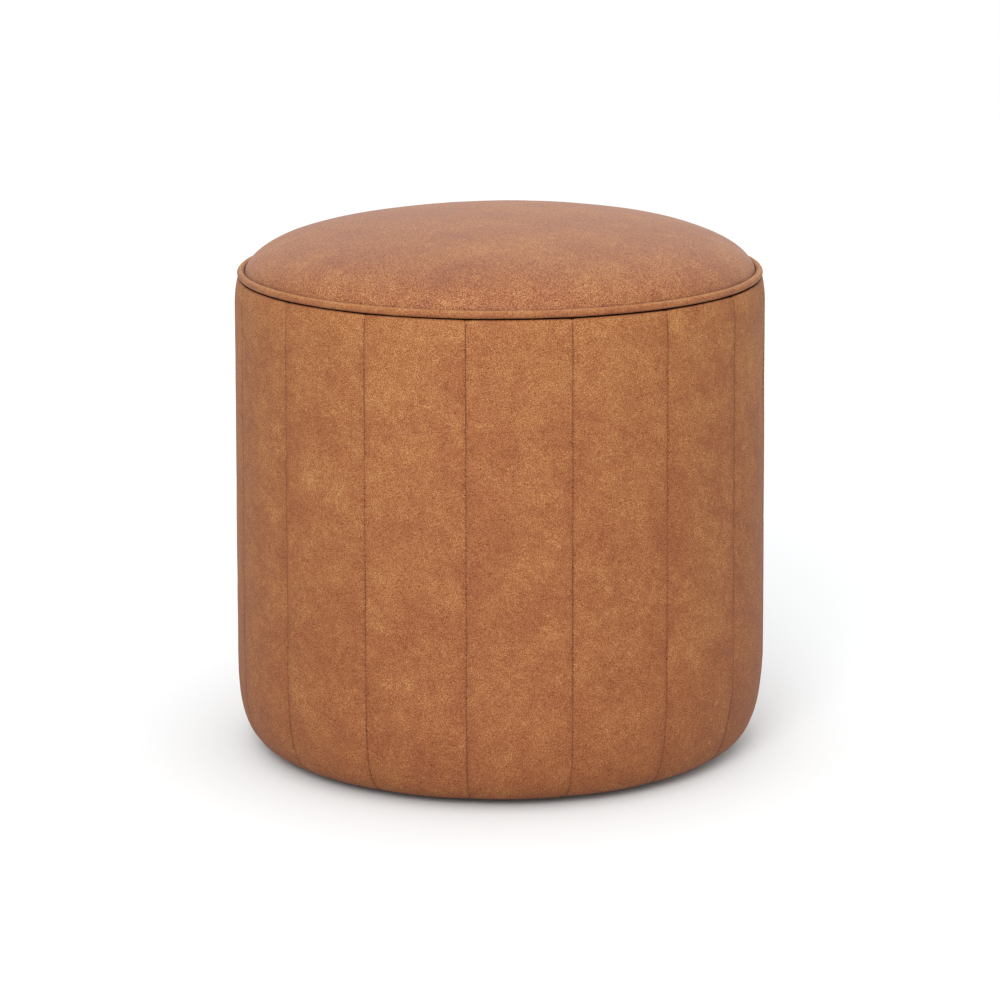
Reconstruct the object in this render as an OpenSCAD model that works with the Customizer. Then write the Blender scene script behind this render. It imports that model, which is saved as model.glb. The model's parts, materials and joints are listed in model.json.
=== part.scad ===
// Round upholstered pouf: a sewn leather cover over a padded wooden drum.
// Millimetres, +Z up. The origin is on the floor, under the centre of the drum. The front is -Y.

/* [Drum] */
// Outside diameter of the leather drum at its top
drum_d = 459; // [421:2:501]
// How far the drum's side leans out from its top to its foot
flare = 2.5; // [0:0.5:4]
// Height of the top seam above the floor
seam_z = 417; // [390:1:450]
// Height of the crown's highest point above the top seam
crown_h = 52; // [44:1:60]
// Turn of the first side seam from the front, in degrees
seam_turn = -7.2; // [-11:0.1:11]

/* [Side shape] */
// How far the drum draws in at its foot
tuck_in = 40.5; // [30:0.5:46]
// Height over which the foot draws in
tuck_h = 76; // [56:1:84]
// How far the side draws in under the piping
shoulder_in = 3.5; // [2:0.1:5]
// Height over which the side draws in under the piping
shoulder_h = 22; // [15:1:30]
// Width of the hem that is turned under the bottom board
hem_w = 31.5; // [28:0.5:33]

/* [Cover] */
// Thickness of the leather
leather_t = 1.2; // [1:0.1:1.4]
// Diameter of the piping
piping_d = 6.4; // [5.5:0.1:8]
// How far the drum's side stands out past the piping
piping_inset = 2.4; // [1:0.1:4]
// Width of the seam allowance behind each side seam
allowance_w = 7; // [5:0.5:9]
// Gap left between two sewn panels
seam_gap = 0.3; // [0.2:0.05:0.5]

/* [Padding] */
// Thickness of the fibre wadding round the side
side_wad_t = 4; // [3:0.5:5]
// Thickness of the fibre wadding over the seat
seat_wad_t = 6; // [4:0.5:8]

/* [Frame] */
// Thickness of the top and bottom boards
board_t = 15; // [12:1:18]
// Thickness of the rolled fibreboard shell
shell_t = 3; // [2.5:0.5:4]
// Height of the top board's upper face
board_top_z = 376; // [350:1:384]
// Width of a post along the shell
post_w = 40; // [30:1:50]
// Depth of a post towards the centre
post_d = 30; // [24:1:36]

/* [Base] */
// Height of a glide under the dust cover
glide_h = 3; // [3:0.5:8]
// Diameter of a glide
glide_d = 28; // [24:1:30]
// Distance from the hem's inner edge to the middle of each glide
glide_inset = 19; // [16:1:30]

/* [Hidden] */
PANELS = 16;
POSTS = 6;
GLIDES = 4;
$fn = 96;

FRONT = 270;            // direction of -Y, in degrees
CLEAR = 0.1;            // gap between layers that lie on each other
SOFT_CLEAR = 0.2;       // gap on each side of a padding layer
CURVE_STEPS = 14;       // points along the drum's rounded foot and along the crown
SHOULDER_STEPS = 6;
FOOT_ROUND = 3;         // 2 draws the foot in as an ellipse, and more makes its corner squarer

drum_r = drum_d / 2;
panel_a = 360 / PANELS;
gap_a = seam_gap / drum_r * 180 / PI;
allowance_a = allowance_w / drum_r * 180 / PI;

// Layers under the drum, from the floor up
dust_t = 0.5;
wire_t = 0.8;
hem_z = glide_h + dust_t + wire_t + CLEAR;
board_z = hem_z + leather_t + CLEAR;
board_top_under_z = board_top_z - board_t;

// Radii, from the outside in
foot_r = drum_r + flare;
hem_r = foot_r - tuck_in;
under_r = hem_r - hem_w;
shell_r = hem_r - 1.5;
shell_in_r = shell_r - shell_t;
board_r = shell_in_r - CLEAR;
foam_in_r = shell_r + wire_t + SOFT_CLEAR;
wad_out = leather_t + SOFT_CLEAR;
wad_in = wad_out + side_wad_t;
foam_out = wad_in + SOFT_CLEAR;
dust_r = under_r + 22;
glide_r = under_r - glide_inset;

// Layers of the top seam, from the side panels up
panel_top = seam_z - CLEAR;
padding_top = panel_top - leather_t - SOFT_CLEAR;
piping_r = drum_r - piping_inset - piping_d / 2;
piping_z = seam_z + piping_d / 2;
piping_skin = 1.1;
tab_r = drum_r - 17.5;
tab_z = seam_z + piping_skin + CLEAR;
welt_thread_t = 0.7;
welt_thread_r = tab_r + 4;
seat_rim_z = tab_z + leather_t + welt_thread_t + SOFT_CLEAR;

// The crown is a flattened dome, which meets the piping on its inner side
CROWN_ROUND = 2.04;
CROWN_EDGE = 2.39;
crown_sink = 2.4;
crown_r = piping_r - piping_d / 2 + 0.6;
crown_z = seam_z - crown_sink;
crown_rise = crown_h + crown_sink;
seat_plug_r = foam_in_r - 2 * SOFT_CLEAR;
seat_ledge_r = tab_r - 2 * SOFT_CLEAR;
seat_ledge_z = padding_top + SOFT_CLEAR;
seat_wad_out = leather_t + SOFT_CLEAR;
seat_wad_in = seat_wad_out + seat_wad_t;
seat_foam_out = seat_wad_in + SOFT_CLEAR;

// Fasteners
staple_w = 10;
staple_leg = 9;
slot_room = 0.1;
cover_staple_r = under_r + 7;
dust_staple_r = under_r + 16;
cover_staple_a = 5.5;
screw_d = 4;
screw_l = 45;
screw_head_d = 8;
screw_head_h = 2.5;
screw_room = 0.2;
screw_spread = 10;
post_out_r = shell_in_r - 2;
post_mid_r = post_out_r - post_d / 2;
shell_staples_each = 12;
glide_boss_d = 10;
glide_screw_d = 3.5;
glide_screw_top = board_z + 10;
glide_head_d = 7;
glide_head_h = 1.6;
glide_recess_h = 2.6;
strip_w = 50;
shell_joint_turn = 30;

function turned(list) = [for (i = [len(list) - 1:-1:0]) list[i]];

// Half section of the drawn-in foot, inset by t, from the hem outwards and up
function foot_curve(t) = [
    for (i = [0:CURVE_STEPS])
        let (a = 90 - 90 * i / CURVE_STEPS)
            [
                hem_r + (tuck_in - t) * pow(cos(a), 2 / FOOT_ROUND),
                hem_z + tuck_h - (tuck_h - t) * pow(sin(a), 2 / FOOT_ROUND)
            ]
];

// Radius of the leather's face at height z, between the foot and the shoulder
function side_r(z) =
    drum_r + flare * (panel_top - shoulder_h - z) / (panel_top - shoulder_h - hem_z - tuck_h);

// Half section of the shoulder under the piping, inset by t, from the side up
function shoulder_curve(t) = [
    for (i = [0:SHOULDER_STEPS])
        let (a = 90 * i / SHOULDER_STEPS)
            [
                drum_r - shoulder_in + (shoulder_in - t) * cos(a),
                panel_top - shoulder_h + (shoulder_h - t) * sin(a)
            ]
];

// Half section of the crown, inset by t, from height z up to the middle
function crown_curve(t, z) =
    let (first = asin((z - crown_z) / (crown_rise - t)))
    [
        for (i = [0:CURVE_STEPS])
            let (s = sin(first + (90 - first) * i / CURVE_STEPS))
                [
                    (crown_r - t) * pow(1 - pow(s, CROWN_EDGE), 1 / CROWN_ROUND),
                    crown_z + (crown_rise - t) * s
                ]
    ];

function post_turn(i) = FRONT + 360 / POSTS * i;
function glide_turn(i) = FRONT + 45 + 360 / GLIDES * i;
function panel_turn(i) = FRONT + seam_turn + panel_a * i;

// Children, moved out to radius r and turned by a about the drum's axis
module at_polar(a, r, z = 0) {
    rotate([0, 0, a])
        translate([r, 0, z])
            children();
}

// A solid of revolution between the angles from and from + sweep
module arc_solid(from, sweep) {
    rotate([0, 0, from])
        rotate_extrude(angle = sweep)
            children();
}

// Section of a strip of width w that follows the side at depth behind its face
module side_strip(depth, w, low_z, high_z) {
    polygon([
        [side_r(low_z) - depth, low_z],
        [side_r(low_z) - depth + w, low_z],
        [side_r(high_z) - depth + w, high_z],
        [side_r(high_z) - depth, high_z]
    ]);
}

// Two staple legs, pointing up from z = 0, with room on each side
module staple_legs(room) {
    side = wire_t + 2 * room;
    for (x = [-1, 1])
        translate([x * (staple_w - wire_t) / 2 - side / 2, -side / 2, 0])
            cube([side, side, staple_leg + room]);
}

// A staple whose crown lies on z = 0 and whose legs point up
module staple() {
    translate([-staple_w / 2, -wire_t / 2, 0])
        cube([staple_w, wire_t, wire_t]);
    staple_legs(0);
}

// Places of the staples that hold the turned hem of panel i
module at_cover_staples(i) {
    for (a = [-cover_staple_a, cover_staple_a])
        at_polar(panel_turn(i) + panel_a / 2 + a, cover_staple_r, hem_z - wire_t)
            rotate([0, 0, 90])
                children();
}

// Place of the staple that holds the dust cover under panel i
module at_dust_staple(i) {
    at_polar(panel_turn(i) + panel_a / 2, dust_staple_r, glide_h - wire_t)
        rotate([0, 0, 90])
            children();
}

// Places of the staples that hold the shell to a board whose mid height is z
module at_shell_staples(z) {
    for (i = [0:shell_staples_each - 1])
        at_polar(post_turn(0) + 15 + 360 / shell_staples_each * i, shell_r + wire_t, z)
            rotate([0, -90, 0])
                rotate([0, 0, 90])
                    children();
}

// A countersunk screw with its head at z = 0, pointing up, with room all round
module wood_screw(room) {
    rotate_extrude()
        polygon([
            [0, 0],
            [screw_head_d / 2 + room, 0],
            [screw_d / 2 + room, screw_head_h + room],
            [screw_d / 2 + room, screw_l - screw_d + room],
            [0, screw_l + room]
        ]);
}

// Places of the screws that hold each board to the posts
module at_post_screws() {
    for (i = [0:POSTS - 1])
        for (y = [-screw_spread, screw_spread])
            at_polar(post_turn(i), post_mid_r)
                translate([0, y, 0])
                    children();
}

module bottom_screws(room) {
    at_post_screws()
        translate([0, 0, board_z])
            wood_screw(room);
}

module top_screws(room) {
    at_post_screws()
        translate([0, 0, board_top_z])
            mirror([0, 0, 1])
                wood_screw(room);
}

module bottom_board() {
    color("burlywood")
        difference() {
            translate([0, 0, board_z])
                cylinder(r = board_r, h = board_t);
            bottom_screws(screw_room);
            at_shell_staples(board_z + board_t / 2)
                staple_legs(slot_room);
            for (i = [0:PANELS - 1]) {
                at_cover_staples(i)
                    staple_legs(slot_room);
                at_dust_staple(i)
                    staple_legs(slot_room);
            }
            for (i = [0:GLIDES - 1])
                at_polar(glide_turn(i), glide_r, board_z - 1)
                    cylinder(d = glide_screw_d + 2 * slot_room, h = glide_screw_top - board_z + 1.5);
        }
}

module top_board() {
    color("burlywood")
        difference() {
            translate([0, 0, board_top_under_z])
                cylinder(r = board_r, h = board_t);
            top_screws(screw_room);
            at_shell_staples(board_top_under_z + board_t / 2)
                staple_legs(slot_room);
        }
}

module post(i) {
    color("wheat")
        difference() {
            at_polar(post_turn(i), post_out_r - post_d, board_z + board_t)
                translate([0, -post_w / 2, 0])
                    cube([post_d, post_w, board_top_under_z - board_z - board_t]);
            bottom_screws(screw_room);
            top_screws(screw_room);
        }
}

module side_shell() {
    color("peru")
        difference() {
            arc_solid(post_turn(0) + shell_joint_turn + gap_a, 360 - 2 * gap_a)
                translate([shell_in_r, board_z])
                    square([shell_t, board_top_z - board_z]);
            at_shell_staples(board_z + board_t / 2)
                staple_legs(slot_room);
            at_shell_staples(board_top_under_z + board_t / 2)
                staple_legs(slot_room);
        }
}

module shell_joint_strip() {
    strip_a = strip_w / shell_in_r * 180 / PI;
    color("peru")
        arc_solid(post_turn(0) + shell_joint_turn - strip_a / 2, strip_a)
            translate([shell_in_r - shell_t - CLEAR, board_z + board_t])
                square([shell_t, board_top_under_z - board_z - board_t]);
}

module top_board_screws() {
    color("gold")
        top_screws(0);
}

module bottom_board_screws() {
    color("gold")
        bottom_screws(0);
}

module shell_staples() {
    color("silver") {
        at_shell_staples(board_z + board_t / 2)
            staple();
        at_shell_staples(board_top_under_z + board_t / 2)
            staple();
    }
}

module side_foam() {
    foot = foot_curve(foam_out);
    color("ivory")
        rotate_extrude()
            polygon(concat(
                [[foam_in_r, foot[0][1]]],
                foot,
                [[drum_r - foam_out, padding_top], [foam_in_r, padding_top]]
            ));
}

module side_wadding() {
    groove_a = allowance_a + gap_a;
    groove_depth = 2 * leather_t + welt_thread_t + SOFT_CLEAR;
    color("whitesmoke")
        difference() {
            rotate_extrude()
                polygon(concat(
                    foot_curve(wad_out),
                    shoulder_curve(wad_out),
                    [[drum_r - wad_in, padding_top]],
                    turned(foot_curve(wad_in))
                ));
            for (i = [0:PANELS - 1])
                arc_solid(panel_turn(i) - groove_a, 2 * groove_a)
                    side_strip(groove_depth, 3 * leather_t, hem_z + tuck_h + 1, panel_top - shoulder_h - 1);
        }
}

// A domed block with a plug that fills the drum down to the top board
module seat_foam() {
    color("ivory")
        rotate_extrude()
            polygon(concat(
                [
                    [0, board_top_z],
                    [seat_plug_r, board_top_z],
                    [seat_plug_r, seat_ledge_z],
                    [seat_ledge_r, seat_ledge_z],
                    [seat_ledge_r, seat_rim_z]
                ],
                crown_curve(seat_foam_out, seat_rim_z)
            ));
}

module seat_wadding() {
    color("whitesmoke")
        rotate_extrude()
            polygon(concat(
                crown_curve(seat_wad_out, seat_rim_z),
                turned(crown_curve(seat_wad_in, seat_rim_z))
            ));
}

module top_cover() {
    color("peru")
        rotate_extrude()
            polygon(concat(
                [[tab_r, tab_z]],
                crown_curve(0, tab_z),
                turned(crown_curve(leather_t, tab_z + leather_t)),
                [[tab_r, tab_z + leather_t]]
            ));
}

module piping() {
    color("sienna")
        rotate_extrude()
            difference() {
                union() {
                    translate([piping_r, piping_z])
                        circle(d = piping_d);
                    translate([tab_r, seam_z])
                        square([piping_r - tab_r, piping_skin]);
                }
                translate([piping_r, piping_z])
                    circle(d = piping_d - 2 * piping_skin);
            }
}

module piping_cord() {
    color("white")
        rotate_extrude()
            translate([piping_r, piping_z])
                circle(d = piping_d - 2 * piping_skin - 2 * CLEAR);
}

// One leather panel, with its turned hem, its tab in the top seam and its two seam allowances
module side_panel(i) {
    sweep = panel_a - gap_a;
    low_z = hem_z + tuck_h + 2;
    high_z = panel_top - shoulder_h - 2;
    start = panel_turn(i) + gap_a / 2;
    color("chocolate")
        difference() {
            union() {
                arc_solid(start, sweep)
                    polygon(concat(
                        [[under_r, hem_z]],
                        foot_curve(0),
                        shoulder_curve(0),
                        [[tab_r, panel_top], [tab_r, panel_top - leather_t]],
                        turned(shoulder_curve(leather_t)),
                        turned(foot_curve(leather_t)),
                        [[under_r, hem_z + leather_t]]
                    ));
                for (from = [start, start + sweep - allowance_a])
                    arc_solid(from, allowance_a)
                        side_strip(2 * leather_t, 1.5 * leather_t, low_z, high_z);
            }
            at_cover_staples(i)
                staple_legs(slot_room);
            at_dust_staple(i)
                staple_legs(slot_room);
        }
}

module side_seam_threads() {
    low_z = hem_z + tuck_h + 4;
    high_z = panel_top - shoulder_h - 4;
    thread_a = welt_thread_t / drum_r * 180 / PI;
    color("saddlebrown")
        for (i = [0:PANELS - 1])
            arc_solid(panel_turn(i) - thread_a / 2, thread_a)
                side_strip(2 * leather_t + welt_thread_t, welt_thread_t - CLEAR, low_z, high_z);
}

module welt_thread() {
    color("saddlebrown")
        rotate_extrude()
            translate([welt_thread_r, tab_z + leather_t])
                square([welt_thread_t, welt_thread_t]);
}

module cover_staples() {
    color("silver")
        for (i = [0:PANELS - 1])
            at_cover_staples(i)
                staple();
}

module dust_cover() {
    color("black")
        difference() {
            translate([0, 0, glide_h])
                cylinder(r = dust_r, h = dust_t);
            for (i = [0:PANELS - 1])
                at_dust_staple(i)
                    staple_legs(slot_room);
            for (i = [0:GLIDES - 1])
                at_polar(glide_turn(i), glide_r)
                    cylinder(d = glide_boss_d + 2 * slot_room, h = board_z);
        }
}

module dust_cover_staples() {
    color("silver")
        for (i = [0:PANELS - 1])
            at_dust_staple(i)
                staple();
}

// A round glide with a boss that passes the dust cover and bears on the bottom board
module glide(i) {
    color("dimgray")
        at_polar(glide_turn(i), glide_r)
            rotate_extrude()
                polygon([
                    [glide_head_d / 2 + 0.5, 0],
                    [glide_d / 2 - 1, 0],
                    [glide_d / 2, 1],
                    [glide_d / 2, glide_h - CLEAR],
                    [glide_boss_d / 2, glide_h - CLEAR],
                    [glide_boss_d / 2, board_z],
                    [glide_screw_d / 2 + slot_room, board_z],
                    [glide_screw_d / 2 + slot_room, glide_recess_h],
                    [glide_head_d / 2 + 0.5, glide_recess_h]
                ]);
}

module glide_screws() {
    color("silver")
        for (i = [0:GLIDES - 1])
            at_polar(glide_turn(i), glide_r)
                rotate_extrude()
                    polygon([
                        [0, glide_recess_h - glide_head_h],
                        [glide_head_d / 2, glide_recess_h - glide_head_h],
                        [glide_head_d / 2, glide_recess_h],
                        [glide_screw_d / 2, glide_recess_h],
                        [glide_screw_d / 2, glide_screw_top - 2],
                        [0, glide_screw_top]
                    ]);
}

bottom_board();
top_board();
for (i = [1:POSTS])
    post(i - 1);
side_shell();
shell_joint_strip();
top_board_screws();
bottom_board_screws();
shell_staples();
side_foam();
side_wadding();
seat_foam();
seat_wadding();
top_cover();
piping();
piping_cord();
for (i = [1:PANELS])
    side_panel(i - 1);
side_seam_threads();
welt_thread();
cover_staples();
dust_cover();
dust_cover_staples();
for (i = [1:GLIDES])
    glide(i - 1);
glide_screws();
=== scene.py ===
import json
import math

import bmesh
import bpy
import numpy as np
from mathutils import Matrix, Vector


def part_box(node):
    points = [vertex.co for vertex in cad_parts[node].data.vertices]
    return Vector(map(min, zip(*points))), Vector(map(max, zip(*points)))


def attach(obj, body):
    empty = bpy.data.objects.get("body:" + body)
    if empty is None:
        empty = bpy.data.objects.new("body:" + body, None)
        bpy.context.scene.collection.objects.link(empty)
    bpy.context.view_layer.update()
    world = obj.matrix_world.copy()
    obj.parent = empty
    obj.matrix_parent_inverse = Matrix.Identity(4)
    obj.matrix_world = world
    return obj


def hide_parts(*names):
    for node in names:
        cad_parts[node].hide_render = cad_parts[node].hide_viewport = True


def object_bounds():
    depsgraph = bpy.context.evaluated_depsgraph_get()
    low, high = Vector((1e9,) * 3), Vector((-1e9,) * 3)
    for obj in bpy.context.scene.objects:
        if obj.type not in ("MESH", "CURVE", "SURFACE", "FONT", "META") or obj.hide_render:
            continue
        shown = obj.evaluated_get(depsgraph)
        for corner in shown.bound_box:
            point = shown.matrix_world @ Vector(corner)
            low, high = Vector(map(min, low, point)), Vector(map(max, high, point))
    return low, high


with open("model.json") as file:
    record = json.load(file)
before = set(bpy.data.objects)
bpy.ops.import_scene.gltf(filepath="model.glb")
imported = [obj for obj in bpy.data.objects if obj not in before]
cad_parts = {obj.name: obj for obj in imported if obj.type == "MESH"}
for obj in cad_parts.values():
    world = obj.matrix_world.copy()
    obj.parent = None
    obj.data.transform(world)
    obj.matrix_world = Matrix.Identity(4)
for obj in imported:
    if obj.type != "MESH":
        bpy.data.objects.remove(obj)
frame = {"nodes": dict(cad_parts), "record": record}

CAD_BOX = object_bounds()
MM = 0.001

# ---------------------------------------------------------------- places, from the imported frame
SEAM_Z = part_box("piping")[0][2]                    # underside of the piping
PIPING_RAD = (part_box("piping")[1][2] - SEAM_Z) / 2
PIPING_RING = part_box("piping_cord")[1][0] - (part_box("piping_cord")[1][2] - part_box("piping_cord")[0][2]) / 2
PIPING_Z = SEAM_Z + PIPING_RAD
CROWN_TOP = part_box("top_cover")[1][2]
SHELL_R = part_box("side_shell")[1][0]
HEM_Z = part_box("side_panel_1")[0][2]               # underside of the turned hem
DUST_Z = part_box("dust_cover")[0][2]
DUST_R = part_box("dust_cover")[1][1]
FOOT_R = max(CAD_BOX[1][0], CAD_BOX[1][1])
DRUM_R = FOOT_R - 2.5 * MM                         # the side leans in towards its top
HEM_R = FOOT_R - 40.5 * MM                         # where the foot turns under
UNDER_R = DUST_R - 22 * MM                         # inner edge of the turned hem
TAB_R = DRUM_R - 17.5 * MM                         # inner edge of the tabs in the top seam
TAB_RUN = 17 * MM                                  # a panel's length from its shoulder to that inner edge
SLOT = 0.85 * MM                                   # open height of the top seam at the shoulder
PANELS = 16
PANEL_A = 2 * math.pi / PANELS
FRONT = math.radians(270)
FIRST_SEAM = FRONT + math.radians(-7.2)            # the seam nearest to the middle of the front
SEAM_DRIFT = math.radians(1.3)                     # how far the side seams stray from their even spacing
TUCK_H = 76 * MM                                   # height of the foot's turn
LEATHER_T = 1.2 * MM
STITCH_PITCH = 5.2 * MM
STITCH_DEPTH = 0.95 * MM                           # of a side stitch, below the panels' faces
FOOT_ROUND = 2 / 3                                 # power of the foot's superellipse
THREAD_COLOUR = (0.19, 0.068, 0.03)


# ---------------------------------------------------------------- small tools
def smooth_noise(points, size, seed):
    """Value noise from -1 to 1 with features about size across, the same on every run."""
    q = np.asarray(points, float).reshape(-1, 3) / size + 1000.5
    cell = np.floor(q).astype(np.int64)
    f = q - cell
    f = f * f * f * (f * (f * 6 - 15) + 10)
    total = np.zeros(len(q))
    for corner in range(8):
        o = np.array([corner & 1, corner >> 1 & 1, corner >> 2 & 1])
        c = cell + o
        h = c[:, 0] * 73856093 ^ c[:, 1] * 19349663 ^ c[:, 2] * 83492791 ^ seed * 2654435761
        h = (h ^ h >> 13) * 1274126177 & 0x7FFFFFFF
        h = (h ^ h >> 15) & 0xFFFF
        w = np.prod(np.where(o, f, 1 - f), axis=1)
        total += w * (h / 32767.5 - 1)
    return total.reshape(np.shape(points)[:-1])


def link(obj, node):
    """Puts a piece in the scene, on the one body, in the place of a CAD node."""
    bpy.context.scene.collection.objects.link(obj)
    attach(obj, "root")
    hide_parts(node)
    return obj


def thickened(piece, name, thickness, offset):
    """Gives a piece of leather or cloth its thickness, inwards for offset -1 and outwards for 1."""
    thick = piece.modifiers.new(name, "SOLIDIFY")
    thick.thickness, thick.offset = thickness, offset


def grid_mesh(name, points, wrap_rows=False, wrap_cols=False, flip=False):
    """A mesh of quads over a (rows, columns, 3) array of points."""
    rows, cols = points.shape[:2]
    i = np.arange(rows if wrap_rows else rows - 1)[:, None]
    j = np.arange(cols if wrap_cols else cols - 1)[None, :]
    i1, j1 = (i + 1) % rows, (j + 1) % cols
    quads = np.stack([i * cols + j, i * cols + j1, i1 * cols + j1, i1 * cols + j], axis=-1).reshape(-1, 4)
    if flip:
        quads = quads[:, ::-1]
    mesh = bpy.data.meshes.new(name)
    mesh.vertices.add(rows * cols)
    mesh.vertices.foreach_set("co", points.astype(np.float32).ravel())
    mesh.loops.add(quads.size)
    mesh.loops.foreach_set("vertex_index", quads.astype(np.int32).ravel())
    mesh.polygons.add(len(quads))
    mesh.polygons.foreach_set("loop_start", np.arange(0, quads.size, 4, dtype=np.int32))
    mesh.update(calc_edges=True)
    mesh.validate()
    mesh.shade_smooth()
    return mesh


def point_data(mesh, name, values):
    """A vector or number on every point, for the materials."""
    values = np.asarray(values, np.float32)
    if values.ndim > 1 and values.shape[-1] == 3:
        mesh.attributes.new(name, "FLOAT_VECTOR", "POINT").data.foreach_set("vector", values.ravel())
    else:
        mesh.attributes.new(name, "FLOAT", "POINT").data.foreach_set("value", values.ravel())


def distances(line):
    """The distance of each point along a half section, from its first point."""
    return np.concatenate([[0], np.cumsum(np.linalg.norm(np.diff(line, axis=0), axis=1))])


def resampled(line, steps):
    """The half section again at the given distances along it."""
    along = distances(line)
    return np.stack([np.interp(steps, along, line[:, k]) for k in (0, 1)], axis=1)


def normals_of(line):
    """Left-hand normals along a half section that runs outwards and up."""
    t = np.gradient(line, axis=0)
    t /= np.linalg.norm(t, axis=1)[:, None]
    return np.stack([t[:, 1], -t[:, 0]], axis=1)


# ---------------------------------------------------------------- materials
class Tree:
    """A material's node tree, with short calls for the nodes used here."""

    def __init__(self, name):
        self.material = bpy.data.materials.new(name)
        self.material.use_nodes = True
        self.nodes, self.links = self.material.node_tree.nodes, self.material.node_tree.links
        self.shader = next(n for n in self.nodes if n.type == "BSDF_PRINCIPLED")

    def put(self, socket, value):
        if isinstance(value, bpy.types.NodeSocket):
            self.links.new(value, socket)
        elif value is not None:
            socket.default_value = value

    def add(self, kind, out=0, settings=None, **inputs):
        node = self.nodes.new(kind)
        for k, v in (settings or {}).items():
            setattr(node, k, v)
        for k, v in inputs.items():
            self.put(node.inputs[int(k[1:]) if k[0] == "i" and k[1:].isdigit() else k.replace("_", " ")], v)
        return node.outputs[out]

    def attribute(self, name, out):
        return self.add("ShaderNodeAttribute", out, {"attribute_name": name})

    def noise(self, at, scale, detail=2.0, roughness=0.5, distortion=0.0):
        return self.add("ShaderNodeTexNoise", 0, None, Vector=at, Scale=scale, Detail=detail,
                        Roughness=roughness, Distortion=distortion)

    def cells(self, at, scale, feature="F1", randomness=1.0):
        return self.add("ShaderNodeTexVoronoi", 0, {"feature": feature}, Vector=at, Scale=scale,
                        Randomness=randomness)

    def math(self, op, a, b=None, c=None):
        return self.add("ShaderNodeMath", 0, {"operation": op}, i0=a, i1=b, i2=c)

    def swing(self, value, size, under):
        """Adds a noise's swing about its middle, times size, to the value under it."""
        return self.math("MULTIPLY_ADD", self.math("SUBTRACT", value, 0.5), size, under)

    def lines(self, value, width):
        """Thin lines where a noise crosses its middle."""
        away = self.math("ABSOLUTE", self.math("SUBTRACT", value, 0.5))
        return self.span(away, 0.0, width, 1.0, 0.0)

    def vec(self, op, a, b):
        return self.add("ShaderNodeVectorMath", 0, {"operation": op}, i0=a, i1=b)

    def scaled(self, at, by):
        return self.vec("MULTIPLY", at, by)

    def span(self, value, low, high, to_low=0.0, to_high=1.0, smooth=True):
        return self.add("ShaderNodeMapRange", 0,
                        {"interpolation_type": "SMOOTHSTEP" if smooth else "LINEAR", "clamp": True},
                        i0=value, i1=low, i2=high, i3=to_low, i4=to_high)

    def mix(self, share, a, b):
        node = self.nodes.new("ShaderNodeMix")
        node.data_type = "RGBA"
        for i, v in ((0, share), (6, a), (7, b)):
            self.put(node.inputs[i], v)
        return node.outputs[2]

    def ramp(self, value, *stops):
        node = self.nodes.new("ShaderNodeValToRGB")
        while len(node.color_ramp.elements) < len(stops):
            node.color_ramp.elements.new(0.5)
        for e, (at, colour) in zip(node.color_ramp.elements, stops):
            e.position, e.color = at, (*colour, 1)
        self.put(node.inputs[0], value)
        return node.outputs[0]

    def bump(self, height, strength, distance, under=None):
        return self.add("ShaderNodeBump", 0, None, Strength=strength, Distance=distance, Height=height,
                        Normal=under)

    def finish(self, colour, roughness, normal=None, **fixed):
        self.put(self.shader.inputs["Base Color"], colour)
        self.put(self.shader.inputs["Roughness"], roughness)
        self.put(self.shader.inputs["Normal"], normal)
        for k, v in fixed.items():
            self.shader.inputs[k.replace("_", " ")].default_value = v
        return self.material


# The dye from its darkest clouds to its palest spots; the painted shade and painted light below are laid along
# it too
DYE = ((0.0, (0.144, 0.0355, 0.0138)), (0.5, (0.219, 0.0765, 0.0268)), (1.0, (0.301, 0.1345, 0.0458)))


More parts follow.
